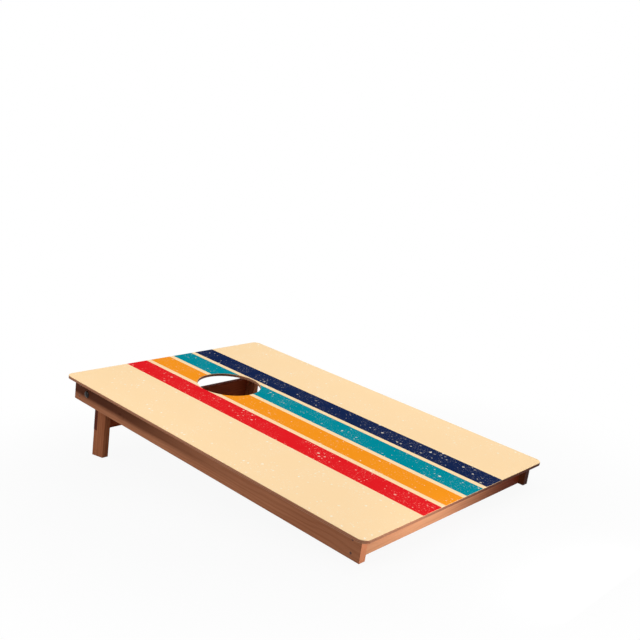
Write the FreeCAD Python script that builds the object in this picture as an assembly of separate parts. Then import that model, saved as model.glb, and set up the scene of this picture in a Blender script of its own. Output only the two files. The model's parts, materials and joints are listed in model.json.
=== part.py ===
"""Cornhole board, 2 ft by 3 ft, with folding legs.

Millimetres.  The board is first drawn lying flat and is then tilted into its playing pose:
  flat +X   from the high back end, where the hole is, to the low front end
  flat +Y   across the board, from the left side rail to the right one
  flat +Z   up, with Z = 0 on the top of the plywood deck and X = 0 at the deck's back edge
In the playing pose +Z is up, +X still runs to the low front end, and the origin is on the ground
under the middle of the board.
"""
import FreeCAD, Part
import math
import os

from FreeCAD import Vector

# ---------------------------------------------------------------- driving dimensions
# deck and its face
DECK_LENGTH = 914.4
DECK_WIDTH = 609.6
DECK_THICKNESS = 6.5
DECK_CORNER_RADIUS = 17.0
DECK_EDGE_CHAMFER = 0.4          # sanded edges, all round and at the bag hole
FILM_THICKNESS = 0.4
FILM_MARGIN = 0.5                # bare wood left between the film and each deck edge

# bag hole
HOLE_DIAMETER = 152.4
HOLE_FROM_BACK = 228.6

# frame under the deck
RAIL_THICKNESS = 16.0
RAIL_HEIGHT = 50.0
RAIL_EDGE_ROUND = 1.5            # eased lower edges
SIDE_OVERHANG = 17.6             # deck past the side rails
FRONT_OVERHANG = 18.0            # deck past the side rails' front ends
BACK_OVERHANG = 16.0             # deck past the side rails' back ends
FRONT_RAIL_RECESS = 13.0         # front rail behind the side rails' ends
BACK_RAIL_RECESS = 10.5          # back rail inside the side rails' ends

# folding legs
TILT_DEG = 9.5                   # deck's slope in play
LEG_WIDTH = 42.0
LEG_THICKNESS = 16.0
LEG_EDGE_ROUND = 1.2
LEG_STOP_GAP = 0.3               # leg to back rail when the leg is open
FOLD_CLEARANCE = 4.0             # leg to deck when the leg is folded
CROSSBAR_HEIGHT = 53.0
CROSSBAR_THICKNESS = 12.5
CROSSBAR_BELOW_PIVOT = 49.0      # pivot to the crossbar's upper edge
CROSSBAR_EDGE_ROUND = 1.0

# spacer blocks between the side rails and the legs
SPACER_LENGTH = 42.0
SPACER_HEIGHT = 44.0
SPACER_THICKNESS = 22.0
SPACER_EDGE_ROUND = 1.5

# pivot: M6 carriage bolt, washers and lock nut
BOLT_DIAMETER = 6.0
BOLT_LENGTH = 65.0
BOLT_HEAD_DIAMETER = 16.0
BOLT_HEAD_HEIGHT = 3.6
BOLT_NECK_WIDTH = 6.0
BOLT_NECK_LENGTH = 4.0
PIVOT_CLEARANCE = 0.08           # radial, bolt in its bores
WASHER_DIAMETER = 18.0
WASHER_THICKNESS = 1.6
WASHER_RUNNING_GAP = 0.1         # washer to leg, each side
NUT_ACROSS_FLATS = 10.0
NUT_HEX_HEIGHT = 4.0
NUT_COLLAR_DIAMETER = 9.2
NUT_COLLAR_HEIGHT = 2.0

# wood screws, flat-headed, and brads of flat wire with a T-shaped head
FASTENER_FIT = 0.05              # all round, screw or brad in its hole
CROSSBAR_SCREW_HEAD = 8.0
CROSSBAR_SCREW_SHANK = 4.0
CROSSBAR_SCREW_LENGTH = 32.0
CROSSBAR_SCREW_SPACING = 34.0    # up the crossbar, at each leg
RAIL_SCREW_HEAD = 5.2
RAIL_SCREW_SHANK = 3.4
RAIL_SCREW_LENGTH = 45.0
RAIL_SCREW_SPACING = 26.0        # up the rail, at each corner
BRAD_LENGTH = 32.0
BRAD_THICKNESS = 1.0
BRAD_WIDTH = 1.3
BRAD_HEAD_WIDTH = 2.4
BRAD_HEAD_HEIGHT = 0.8
DECK_BRAD_PITCH = 140.0          # along the rails, at most
DECK_BRAD_END = 90.0             # first brad from the rail's end
SPACER_BRAD_OFFSET = 13.5        # from the pivot, both ways

# ---------------------------------------------------------------- places that follow
HALF_WIDTH = DECK_WIDTH / 2
DECK_UNDERSIDE = -DECK_THICKNESS
RAIL_BOTTOM = DECK_UNDERSIDE - RAIL_HEIGHT
RAIL_OUTER_Y = HALF_WIDTH - SIDE_OVERHANG
RAIL_INNER_Y = RAIL_OUTER_Y - RAIL_THICKNESS
RAIL_BACK_X = BACK_OVERHANG
RAIL_FRONT_X = DECK_LENGTH - FRONT_OVERHANG
BACK_RAIL_X = RAIL_BACK_X + BACK_RAIL_RECESS
BACK_RAIL_INNER_X = BACK_RAIL_X + RAIL_THICKNESS
FRONT_RAIL_INNER_X = RAIL_FRONT_X - FRONT_RAIL_RECESS - RAIL_THICKNESS

PIVOT_X = BACK_RAIL_INNER_X + LEG_STOP_GAP + LEG_WIDTH / 2
PIVOT_Z = DECK_UNDERSIDE - FOLD_CLEARANCE - LEG_WIDTH / 2
SPACER_INNER_Y = RAIL_INNER_Y - SPACER_THICKNESS
LEG_OUTER_Y = SPACER_INNER_Y - WASHER_THICKNESS - WASHER_RUNNING_GAP
LEG_INNER_Y = LEG_OUTER_Y - LEG_THICKNESS
INNER_WASHER_Y = LEG_INNER_Y - WASHER_RUNNING_GAP
NUT_Y = INNER_WASHER_Y - WASHER_THICKNESS
LEG_BACK_X = PIVOT_X - LEG_WIDTH / 2
LEG_FRONT_X = PIVOT_X + LEG_WIDTH / 2
CROSSBAR_TOP = PIVOT_Z - CROSSBAR_BELOW_PIVOT
CROSSBAR_BOTTOM = CROSSBAR_TOP - CROSSBAR_HEIGHT

TILT = math.radians(TILT_DEG)
# In play the ground touches the eased lower corner at the side rails' front ends, so along the
# flat board it falls away by tan(TILT) from there to the back.
GROUND_Z_AT_FRONT = RAIL_BOTTOM + RAIL_EDGE_ROUND * (math.tan(TILT) + 1 - 1 / math.cos(TILT))

CROSSBAR_SCREW = (CROSSBAR_SCREW_HEAD, CROSSBAR_SCREW_SHANK, CROSSBAR_SCREW_LENGTH)
RAIL_SCREW = (RAIL_SCREW_HEAD, RAIL_SCREW_SHANK, RAIL_SCREW_LENGTH)

LEFT, RIGHT = -1, 1
SIDES = (("left", LEFT), ("right", RIGHT))
ACROSS = Vector(0, 1, 0)
UP = Vector(0, 0, 1)
NEAR = 0.01                      # how close counts as the same place when edges are picked


# ---------------------------------------------------------------- helpers
def ground_z(x):
    """Height of the ground under the flat board at x."""
    return GROUND_Z_AT_FRONT - (RAIL_FRONT_X - x) * math.tan(TILT)


def box(low, high):
    """A box from its lowest corner to its highest one."""
    size = high - low
    return Part.makeBox(size.x, size.y, size.z, low)


def rounded(solid, radius, wanted):
    """Round the edges whose bounding boxes pass a test."""
    return solid.makeFillet(radius, [e for e in solid.Edges if wanted(e.BoundBox)])


def chamfered(solid, width, wanted):
    """Chamfer the edges whose bounding boxes pass a test."""
    return solid.makeChamfer(width, [e for e in solid.Edges if wanted(e.BoundBox)])


def screw(kind, grow=0.0):
    """A flat-headed screw along +Z from its head's top; grow makes the hole that it fits in."""
    head_diameter, shank_diameter, length = kind
    head = head_diameter / 2 + grow
    shank = shank_diameter / 2 + grow
    profile = Part.makePolygon([
        Vector(0, 0, 0),
        Vector(head, 0, 0),
        Vector(shank, 0, head - shank),
        Vector(shank, 0, length + grow),
        Vector(0, 0, length + grow),
        Vector(0, 0, 0),
    ])
    return Part.Face(profile).revolve(Vector(0, 0, 0), UP, 360)


def brad(grow=0.0):
    """A brad along +Z from its head's top; grow makes the hole that it fits in."""
    thick = BRAD_THICKNESS / 2 + grow
    wire = BRAD_WIDTH / 2 + grow
    head = BRAD_HEAD_WIDTH / 2 + grow
    shank = box(Vector(-thick, -wire, 0), Vector(thick, wire, BRAD_LENGTH + grow))
    return shank.fuse(box(Vector(-thick, -head, 0), Vector(thick, head, BRAD_HEAD_HEIGHT + grow)))


def aimed(shape, place, direction):
    """A copy of a shape made along +Z, moved to a place and turned to a direction."""
    placed = shape.copy()
    placed.Placement = FreeCAD.Placement(place, FreeCAD.Rotation(UP, direction))
    return placed


def group(shape, spots):
    """Like shapes, each its own solid, at every spot: a (place, direction)."""
    return Part.makeCompound([aimed(shape, place, direction) for place, direction in spots])


def fastened(wood, hole, spots):
    """Cut a fastener's hole out of a piece of wood at every spot."""
    return wood.cut(group(hole, spots))


def cross_bore(wood, radius):
    """Cut a bore along Y, through the whole piece at the pivot."""
    low = wood.BoundBox.YMin - 1
    length = wood.BoundBox.YLength + 2
    return wood.cut(Part.makeCylinder(radius, length, Vector(PIVOT_X, low, PIVOT_Z), ACROSS))


# ---------------------------------------------------------------- where the screws go
def evenly(first, last, pitch):
    """Places from first to last, evenly spaced and at most a pitch apart."""
    steps = max(1, math.ceil((last - first) / pitch))
    return [first + (last - first) * i / steps for i in range(steps + 1)]


def deck_brad_spots():
    """Down through the deck into the middle of each rail."""
    spots = []
    side_y = RAIL_INNER_Y + RAIL_THICKNESS / 2
    for x in evenly(RAIL_BACK_X + DECK_BRAD_END, RAIL_FRONT_X - DECK_BRAD_END, DECK_BRAD_PITCH):
        for side in (LEFT, RIGHT):
            spots.append((Vector(x, side * side_y, 0), -UP))
    for rail_x in (BACK_RAIL_X, FRONT_RAIL_INNER_X):
        for y in evenly(DECK_BRAD_END - RAIL_INNER_Y, RAIL_INNER_Y - DECK_BRAD_END, DECK_BRAD_PITCH):
            spots.append((Vector(rail_x + RAIL_THICKNESS / 2, y, 0), -UP))
    return spots


def rail_screw_spots():
    """Two at each corner of the frame, through the side rail into the cross rail's end."""
    spots = []
    middle_z = DECK_UNDERSIDE - RAIL_HEIGHT / 2
    for rail_x in (BACK_RAIL_X, FRONT_RAIL_INNER_X):
        for side in (LEFT, RIGHT):
            for end in (-1, 1):
                z = middle_z + end * RAIL_SCREW_SPACING / 2
                place = Vector(rail_x + RAIL_THICKNESS / 2, side * RAIL_OUTER_Y, z)
                spots.append((place, ACROSS * -side))
    return spots


def spacer_brad_spots():
    """Two in each spacer block, one above and one below the pivot, into the side rail."""
    spots = []
    for side in (LEFT, RIGHT):
        for end in (-1, 1):
            x = PIVOT_X + end * SPACER_BRAD_OFFSET
            z = PIVOT_Z + end * SPACER_BRAD_OFFSET
            spots.append((Vector(x, side * SPACER_INNER_Y, z), ACROSS * side))
    return spots


def crossbar_screw_spots():
    """Two at each leg, from the crossbar's back face."""
    spots = []
    leg_y = (LEG_INNER_Y + LEG_OUTER_Y) / 2
    middle_z = (CROSSBAR_TOP + CROSSBAR_BOTTOM) / 2
    for side in (LEFT, RIGHT):
        for end in (-1, 1):
            z = middle_z + end * CROSSBAR_SCREW_SPACING / 2
            spots.append((Vector(LEG_BACK_X, side * leg_y, z), Vector(1, 0, 0)))
    return spots


# ---------------------------------------------------------------- deck
def deck_panel():
    """The plywood deck with rounded corners, eased edges and the bag hole."""
    panel = box(Vector(0, -HALF_WIDTH, DECK_UNDERSIDE), Vector(DECK_LENGTH, HALF_WIDTH, 0))
    panel = rounded(panel, DECK_CORNER_RADIUS, lambda b: b.ZLength > NEAR)
    panel = panel.cut(hole_cutter(HOLE_DIAMETER / 2))
    panel = chamfered(panel, DECK_EDGE_CHAMFER, lambda b: b.ZLength < NEAR)
    return fastened(panel, brad(FASTENER_FIT), deck_brad_spots())


def hole_cutter(radius):
    """The cylinder that a bag hole takes out of the deck and its film."""
    centre = Vector(HOLE_FROM_BACK, 0, DECK_UNDERSIDE - 1)
    return Part.makeCylinder(radius, DECK_THICKNESS + FILM_THICKNESS + 2, centre, UP)


def face_film():
    """The printed film on the deck, a margin in from its edges."""
    film = box(Vector(FILM_MARGIN, FILM_MARGIN - HALF_WIDTH, 0),
               Vector(DECK_LENGTH - FILM_MARGIN, HALF_WIDTH - FILM_MARGIN, FILM_THICKNESS))
    film = rounded(film, DECK_CORNER_RADIUS - FILM_MARGIN, lambda b: b.ZLength > NEAR)
    return film.cut(hole_cutter(HOLE_DIAMETER / 2 + FILM_MARGIN))


# ---------------------------------------------------------------- frame
def side_rail(side):
    """A side rail with its bolt hole, the bolt's square seat and its screw holes."""
    near, far = sorted((side * RAIL_INNER_Y, side * RAIL_OUTER_Y))
    rail = box(Vector(RAIL_BACK_X, near, RAIL_BOTTOM), Vector(RAIL_FRONT_X, far, DECK_UNDERSIDE))
    rail = rounded(rail, RAIL_EDGE_ROUND, lambda b: b.ZMax < RAIL_BOTTOM + NEAR)
    rail = cross_bore(rail, BOLT_DIAMETER / 2 + PIVOT_CLEARANCE)
    rail = rail.cut(bolt_neck(side, PIVOT_CLEARANCE))
    rail = fastened(rail, screw(RAIL_SCREW, FASTENER_FIT), rail_screw_spots())
    return fastened(rail, brad(FASTENER_FIT), deck_brad_spots() + spacer_brad_spots())


def cross_rail(low_x):
    """The front or the back rail, between the side rails."""
    rail = box(Vector(low_x, -RAIL_INNER_Y, RAIL_BOTTOM),
               Vector(low_x + RAIL_THICKNESS, RAIL_INNER_Y, DECK_UNDERSIDE))
    rail = rounded(rail, RAIL_EDGE_ROUND, lambda b: b.ZMax < RAIL_BOTTOM + NEAR and b.YLength > NEAR)
    rail = fastened(rail, screw(RAIL_SCREW, FASTENER_FIT), rail_screw_spots())
    return fastened(rail, brad(FASTENER_FIT), deck_brad_spots())


def leg_spacer(side):
    """The block that holds a leg in from its side rail, snug in the frame's back corner."""
    near, far = sorted((side * SPACER_INNER_Y, side * RAIL_INNER_Y))
    block = box(Vector(BACK_RAIL_INNER_X, near, DECK_UNDERSIDE - SPACER_HEIGHT),
                Vector(BACK_RAIL_INNER_X + SPACER_LENGTH, far, DECK_UNDERSIDE))
    bottom, front = block.BoundBox.ZMin, block.BoundBox.XMax
    block = rounded(block, SPACER_EDGE_ROUND,
                    lambda b: b.ZMax < bottom + NEAR and b.XMin > front - NEAR)
    block = cross_bore(block, BOLT_DIAMETER / 2 + PIVOT_CLEARANCE)
    return fastened(block, brad(FASTENER_FIT), spacer_brad_spots())


# ---------------------------------------------------------------- legs
def leg(side):
    """A leg: round head about the pivot, notch for the crossbar and a foot cut level."""
    near, far = sorted((side * LEG_INNER_Y, side * LEG_OUTER_Y))
    head_left = Vector(LEG_BACK_X, near, PIVOT_Z)
    head_top = Vector(PIVOT_X, near, PIVOT_Z + LEG_WIDTH / 2)
    head_right = Vector(LEG_FRONT_X, near, PIVOT_Z)
    foot_front = Vector(LEG_FRONT_X, near, ground_z(LEG_FRONT_X))
    foot_back = Vector(LEG_BACK_X, near, ground_z(LEG_BACK_X))
    outline = Part.Wire([
        Part.Arc(head_left, head_top, head_right).toShape(),
        Part.makeLine(head_right, foot_front),
        Part.makeLine(foot_front, foot_back),
        Part.makeLine(foot_back, head_left),
    ])
    blank = Part.Face(outline).extrude(ACROSS * (far - near))
    blank = rounded(blank, LEG_EDGE_ROUND, lambda b: b.XLength < NEAR and b.ZLength > NEAR)
    blank = blank.cut(crossbar_blank())
    blank = cross_bore(blank, BOLT_DIAMETER / 2 + PIVOT_CLEARANCE)
    return fastened(blank, screw(CROSSBAR_SCREW, FASTENER_FIT), crossbar_screw_spots())


def crossbar_blank():
    """The crossbar with sharp edges, from one leg's outer face to the other's."""
    return box(Vector(LEG_BACK_X, -LEG_OUTER_Y, CROSSBAR_BOTTOM),
               Vector(LEG_BACK_X + CROSSBAR_THICKNESS, LEG_OUTER_Y, CROSSBAR_TOP))


def leg_crossbar():
    """The crossbar, let into the back edges of both legs, with its back edges eased."""
    bar = rounded(crossbar_blank(), CROSSBAR_EDGE_ROUND,
                  lambda b: b.YLength > NEAR and b.XMax < LEG_BACK_X + NEAR)
    return fastened(bar, screw(CROSSBAR_SCREW, FASTENER_FIT), crossbar_screw_spots())


# ---------------------------------------------------------------- pivots
def bolt_neck(side, grow):
    """The square neck under a bolt's head, from the rail's outer face inwards."""
    half = BOLT_NECK_WIDTH / 2 + grow
    near, far = sorted((side * RAIL_OUTER_Y, side * (RAIL_OUTER_Y - BOLT_NECK_LENGTH - grow)))
    return box(Vector(PIVOT_X - half, near, PIVOT_Z - half), Vector(PIVOT_X + half, far, PIVOT_Z + half))


def pivot_bolt(side):
    """A carriage bolt: domed head, square neck and a plain shank."""
    head_radius = BOLT_HEAD_DIAMETER / 2
    radius = BOLT_DIAMETER / 2
    dome_radius = (head_radius ** 2 + BOLT_HEAD_HEIGHT ** 2) / (2 * BOLT_HEAD_HEIGHT)
    half_way = math.asin(head_radius / dome_radius) / 2
    crown = Vector(0, 0, -BOLT_HEAD_HEIGHT)
    shoulder = Vector(dome_radius * math.sin(half_way), 0,
                      dome_radius * (1 - math.cos(half_way)) - BOLT_HEAD_HEIGHT)
    rim = Vector(head_radius, 0, 0)
    under_head = Vector(radius, 0, 0)
    shank_end = Vector(radius, 0, BOLT_LENGTH)
    tip = Vector(0, 0, BOLT_LENGTH)
    profile = Part.Wire([
        Part.Arc(crown, shoulder, rim).toShape(),
        Part.makeLine(rim, under_head),
        Part.makeLine(under_head, shank_end),
        Part.makeLine(shank_end, tip),
        Part.makeLine(tip, crown),
    ])
    turned = Part.Face(profile).revolve(Vector(0, 0, 0), UP, 360)
    placed = aimed(turned, Vector(PIVOT_X, side * RAIL_OUTER_Y, PIVOT_Z), ACROSS * -side)
    return placed.fuse(bolt_neck(side, 0)).removeSplitter()


def pivot_washers(side):
    """One washer on each side of a leg: on the spacer block, and under the nut."""
    disc = Part.makeCylinder(WASHER_DIAMETER / 2, WASHER_THICKNESS)
    washer = disc.cut(Part.makeCylinder(BOLT_DIAMETER / 2 + PIVOT_CLEARANCE, WASHER_THICKNESS))
    outer, inner = (Vector(PIVOT_X, side * y, PIVOT_Z) for y in (SPACER_INNER_Y, INNER_WASHER_Y))
    return group(washer, [(outer, ACROSS * -side), (inner, ACROSS * -side)])


def lock_nut(side):
    """A hexagon nut with a round nylon collar."""
    corner_radius = NUT_ACROSS_FLATS / math.sqrt(3)
    corners = [Vector(corner_radius * math.cos(math.radians(60 * i)),
                      corner_radius * math.sin(math.radians(60 * i)), 0) for i in range(7)]
    hexagon = Part.Face(Part.makePolygon(corners)).extrude(UP * NUT_HEX_HEIGHT)
    flats = NUT_ACROSS_FLATS / 2
    chamfer = Part.makeCone(flats + NUT_HEX_HEIGHT * math.tan(math.radians(60)), flats, NUT_HEX_HEIGHT)
    height = NUT_HEX_HEIGHT + NUT_COLLAR_HEIGHT
    collar = Part.makeCylinder(NUT_COLLAR_DIAMETER / 2, height)
    nut = hexagon.common(chamfer).fuse(collar).removeSplitter()
    nut = nut.cut(Part.makeCylinder(BOLT_DIAMETER / 2 + PIVOT_CLEARANCE, height))
    return aimed(nut, Vector(PIVOT_X, side * NUT_Y, PIVOT_Z), ACROSS * -side)


# ---------------------------------------------------------------- assembly and export
def flat_board():
    """Every piece of the board, by name, with the board lying flat."""
    pieces = {
        "deck_panel": deck_panel(),
        "face_film": face_film(),
        "front_rail": cross_rail(FRONT_RAIL_INNER_X),
        "back_rail": cross_rail(BACK_RAIL_X),
        "leg_crossbar": leg_crossbar(),
        "deck_brads": group(brad(), deck_brad_spots()),
        "spacer_brads": group(brad(), spacer_brad_spots()),
        "rail_screws": group(screw(RAIL_SCREW), rail_screw_spots()),
        "crossbar_screws": group(screw(CROSSBAR_SCREW), crossbar_screw_spots()),
    }
    for name, side in SIDES:
        pieces[name + "_side_rail"] = side_rail(side)
        pieces[name + "_leg_spacer"] = leg_spacer(side)
        pieces[name + "_leg"] = leg(side)
        pieces[name + "_pivot_bolt"] = pivot_bolt(side)
        pieces[name + "_pivot_washers"] = pivot_washers(side)
        pieces[name + "_lock_nut"] = lock_nut(side)
    return pieces


def playing_placement(pieces):
    """Tilt about Y, then set the origin on the ground under the middle of the board."""
    tilted = FreeCAD.Placement(Vector(0, 0, 0), FreeCAD.Rotation(ACROSS, TILT_DEG))
    whole = Part.makeCompound(list(pieces.values()))
    whole.Placement = tilted
    bounds = whole.optimalBoundingBox(False)
    ground = tilted.multVec(Vector(RAIL_FRONT_X, 0, ground_z(RAIL_FRONT_X))).z
    to_origin = Vector(-(bounds.XMin + bounds.XMax) / 2, 0, -ground)
    return FreeCAD.Placement(to_origin, tilted.Rotation)


def main():
    os.makedirs("parts", exist_ok=True)
    pieces = flat_board()
    placement = playing_placement(pieces)
    for name, shape in pieces.items():
        shape.Placement = placement.multiply(shape.Placement)
        shape.exportStep("parts/" + name + ".step")


main()
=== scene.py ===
"""Looks of the folding cornhole board: printed face, stained wood, hardware and a small studio."""

import json
import math

import bpy
import numpy as np
from bpy.props import FloatProperty, FloatVectorProperty, IntProperty, PointerProperty
from mathutils import Matrix, Vector


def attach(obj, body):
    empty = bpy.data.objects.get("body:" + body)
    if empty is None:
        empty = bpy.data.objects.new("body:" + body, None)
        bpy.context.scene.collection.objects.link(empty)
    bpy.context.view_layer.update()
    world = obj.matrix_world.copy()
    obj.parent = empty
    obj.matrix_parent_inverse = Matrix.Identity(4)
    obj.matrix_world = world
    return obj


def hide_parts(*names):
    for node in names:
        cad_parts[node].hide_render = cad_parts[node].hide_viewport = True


bl_info = {
    "name": "Cornhole board looks",
    "version": (1, 0, 0),
    "blender": (4, 5, 0),
    "location": "View3D > Sidebar > Cornhole",
    "description": "Printed face, stained wood, hardware and studio for a folding cornhole board",
    "category": "Object",
}

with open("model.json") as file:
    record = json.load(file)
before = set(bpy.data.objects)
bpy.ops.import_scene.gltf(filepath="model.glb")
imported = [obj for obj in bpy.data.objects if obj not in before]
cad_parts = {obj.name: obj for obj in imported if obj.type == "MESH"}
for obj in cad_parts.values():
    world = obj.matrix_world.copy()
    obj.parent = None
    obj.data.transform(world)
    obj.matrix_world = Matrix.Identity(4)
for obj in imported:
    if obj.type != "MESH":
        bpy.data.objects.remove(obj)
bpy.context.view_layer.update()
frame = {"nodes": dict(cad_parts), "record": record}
MM = 0.001

HOLE = next(m for m in frame["record"]["mounts"] if m["name"] == "bag_hole")
TILT = math.atan2(HOLE["axis"][0], HOLE["axis"][2])
BOARD_AXES = np.array(Matrix.Rotation(TILT, 3, "Y")).T  # rows: along, across, normal


def node_points(node):
    """The corners of a node's triangles in the row frame, in metres."""
    mesh = frame["nodes"][node].data
    points = np.empty(len(mesh.vertices) * 3, np.float32)
    mesh.vertices.foreach_get("co", points)
    return points.reshape(-1, 3).astype(float)


def board_origin():
    """The middle of the deck's upper back edge, from which every board measure runs."""
    deck = node_points("deck_panel") @ BOARD_AXES.T
    return np.array([deck[:, 0].min(), 0.0, deck[:, 2].max()]) @ BOARD_AXES


BOARD_ORIGIN = board_origin()

# Directions in board measures.
ALONG = np.array([1.0, 0.0, 0.0])
ACROSS = np.array([0.0, 1.0, 0.0])
NORMAL = np.array([0.0, 0.0, 1.0])
SIDES = {"left": ACROSS, "right": -ACROSS}  # each side's way into the board


def to_board(points):
    """Row-frame points as board measures: along from the back, across, and up from the plywood."""
    return (points - BOARD_ORIGIN) @ BOARD_AXES.T


def to_row(points):
    """Board measures as points in the row frame."""
    return points @ BOARD_AXES + BOARD_ORIGIN


def board_box(node):
    """Lowest and highest corner of a node, square to the board."""
    points = to_board(node_points(node))
    return points.min(0), points.max(0)


def solid_boxes(node):
    """Lowest and highest corners of each separate solid of a node, square to the board.

    Corners at the same place are one point. Every point takes the lowest number that it can
    reach through its triangles, again and again, until nothing changes."""
    mesh = frame["nodes"][node].data
    corners = np.empty(len(mesh.loops), np.int32)
    mesh.loops.foreach_get("vertex_index", corners)
    points = to_board(node_points(node))
    places, place_of = np.unique(points.round(6), axis=0, return_inverse=True)
    triangles = place_of.reshape(-1)[corners].reshape(-1, 3)
    label = np.arange(len(places))
    while True:
        lower = label.copy()
        np.minimum.at(lower, triangles.ravel(), np.repeat(label[triangles].min(1), 3))
        if (lower == label).all():
            break
        label = lower
    groups = [places[label == one] for one in np.unique(label)]
    return [(group.min(0), group.max(0)) for group in groups]


def linear(red, green, blue):
    """A colour given as 0 to 255 display values, in the linear values that a shader takes."""
    share = np.array([red, green, blue]) / 255
    low = share / 12.92
    high = ((share + 0.055) / 1.055) ** 2.4
    return tuple(np.where(share <= 0.04045, low, high))


def rgba(shade):
    """A colour's three values as a shader's four numbers."""
    return (*shade, 1.0)


def colour(name, description, *shade):
    """A colour property whose default is a display colour."""
    return FloatVectorProperty(
        name=name, description=description, subtype="COLOR", min=0, max=1, default=linear(*shade)
    )


def number(name, description, default, **details):
    """A property that holds one number."""
    return FloatProperty(name=name, description=description, default=default, **details)


def length(name, description, metres):
    """A length property in metres."""
    return number(name, description, metres, subtype="DISTANCE", unit="LENGTH")


def degrees(name, description, default):
    """An angle property, whose default is given in degrees."""
    return number(name, description, math.radians(default), subtype="ANGLE")


def watts(name, description, default):
    """A lamp's power in watts."""
    return number(name, description, default, subtype="POWER")


class PrintSettings(bpy.types.PropertyGroup):
    """The printed face: four stripes on a cream ground, worn by small flecks."""

    ground: colour("Ground", "Colour of the face beside the stripes", 254, 221, 173)
    left_outer: colour("Left outer stripe", "Stripe nearest the left rail", 228, 30, 37)
    left_inner: colour("Left inner stripe", "Stripe left of the middle", 247, 150, 30)
    right_inner: colour("Right inner stripe", "Stripe right of the middle", 0, 138, 153)
    right_outer: colour("Right outer stripe", "Stripe nearest the right rail", 22, 38, 78)
    fleck: colour("Fleck", "Colour of the worn flecks", 255, 243, 222)
    stripe: length("Stripe", "Width of one stripe", 0.0589)
    gap: length("Gap", "Ground between two stripes", 0.0130)
    ragged: length("Ragged edge", "How far a stripe's edge wanders", 0.0006)
    fleck_cell: length("Fleck spacing", "Distance between the larger flecks", 0.0105)
    wear: number("Wear", "How much of the print is flecked", 0.45, min=0, max=1)
    turn: degrees("Turn", "How far the print lies off square on the deck", 0.28)


class WoodSettings(bpy.types.PropertyGroup):
    """Stain colours of the wooden pieces, each as a pale and a dark grain, and colours of painted
    shade for the rails and the deck's front edge.
    """

    rail_pale: colour("Rail, pale grain", "Early wood of the side and back rails", 190, 127, 92)
    rail_dark: colour("Rail, dark grain", "Late wood of the side and back rails", 150, 90, 60)
    rail_end: colour("Rail, end grain", "Cut ends of the rails", 222, 144, 104)
    # Painted shade: under the deck's overhang on the left rail, partly also heartwood there, and
    # toward the right rail's front end.
    rail_heart_and_shade: colour("Rail, heartwood", "Deepest colour of the rails", 92, 47, 27)
    # Painted shade: the right rail's cut end is darkened in its colour.
    right_end_painted_shade: colour("Right rail, end grain", "Cut end of the right rail", 60, 24, 12)
    front_pale: colour("Front rail, pale grain", "Early wood of the front rail", 228, 169, 127)
    front_dark: colour("Front rail, dark grain", "Late wood of the front rail", 204, 132, 96)
    # Painted shade that darkens the front rail toward its right end.
    front_painted_shade: colour("Front rail, heartwood", "Deepest colour of the front rail", 112, 46, 24)
    leg_pale: colour("Leg, pale grain", "Early wood of the legs", 188, 118, 80)
    leg_dark: colour("Leg, dark grain", "Late wood of the legs", 136, 74, 44)
    leg_end: colour("Leg, end grain", "Cut ends of the legs", 110, 66, 42)
    bar_pale: colour("Crossbar, pale grain", "Early wood of the crossbar", 186, 92, 54)
    bar_dark: colour("Crossbar, dark grain", "Late wood of the crossbar", 138, 60, 34)
    bar_end: colour("Crossbar, end grain", "Cut ends of the crossbar", 84, 38, 26)
    spacer_pale: colour("Spacer, pale grain", "Early wood of the spacers", 150, 98, 70)
    spacer_dark: colour("Spacer, dark grain", "Late wood of the spacers", 108, 66, 46)
    ply_pale: colour("Plywood, pale layer", "Layers whose grain runs along the edge", 200, 152, 120)
    ply_dark: colour("Plywood, dark layer", "Layers seen end on", 156, 96, 70)
    # Painted shade toward the right end of the deck's front edge.
    ply_painted_shade: colour("Plywood, stained edge", "Deepest colour of the front edge", 74, 32, 18)
    ring: length("Ring spacing", "Distance between two growth rings", 0.0042)
    veneer_ring: length("Veneer rings", "Distance between two rings in the deck's veneer", 0.009)
    plies: IntProperty(name="Plies", description="Layers in the plywood", default=5, min=1)


class MetalSettings(bpy.types.PropertyGroup):
    """Finishes of the fasteners."""

    bolt: colour("Bolt", "Dark coating of the pivot bolts", 42, 38, 37)
    zinc: colour("Zinc", "Bright zinc of the washers and nuts", 190, 192, 196)
    nylon: colour("Nylon", "Locking ring of the nuts", 226, 228, 224)
    screw: colour("Screw", "Brown coating of the screws", 98, 58, 38)


class FastenerSettings(bpy.types.PropertyGroup):
    """Sizes of the fasteners that the frame doesn't give."""

    head_high: length("Bolt head", "Height of the bolt's dome", 3.6 * MM)
    neck: length("Square neck", "Width of the bolt's neck across its flats", 6.0 * MM)
    neck_long: length("Neck length", "Length of the bolt's neck", 4.0 * MM)
    shank: length("Shank", "Radius of the bolt's shank and of the nut's bore", 3.0 * MM)
    thread_long: length("Thread length", "Length of the bolt's thread", 24.0 * MM)
    thread_pitch: length("Thread pitch", "Distance between two turns of the thread", 1.0 * MM)
    washer_bore: length("Washer bore", "Radius of the washers' holes", 3.25 * MM)
    nut_flats: length("Nut", "Width of the nut across its flats", 10.0 * MM)
    hexagon: length("Hexagon", "Height of the nut's hexagon, below its collar", 4.0 * MM)
    collar: length("Collar", "Radius of the nut's collar", 4.6 * MM)
    insert_outer: length("Insert, outside", "Outer radius of the nut's nylon ring", 3.3 * MM)
    insert_bore: length("Insert, inside", "Bore radius of the nut's nylon ring", 2.98 * MM)
    insert_high: length("Insert height", "Height of the nut's nylon ring", 1.1 * MM)
    insert_deep: length("Insert depth", "From the nut's top to the underside of its ring", 1.5 * MM)
    rail_shank: length("Rail screw", "Radius of the rail screws' shanks", 1.7 * MM)
    bar_shank: length("Crossbar screw", "Radius of the crossbar screws' shanks", 2.0 * MM)


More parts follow.
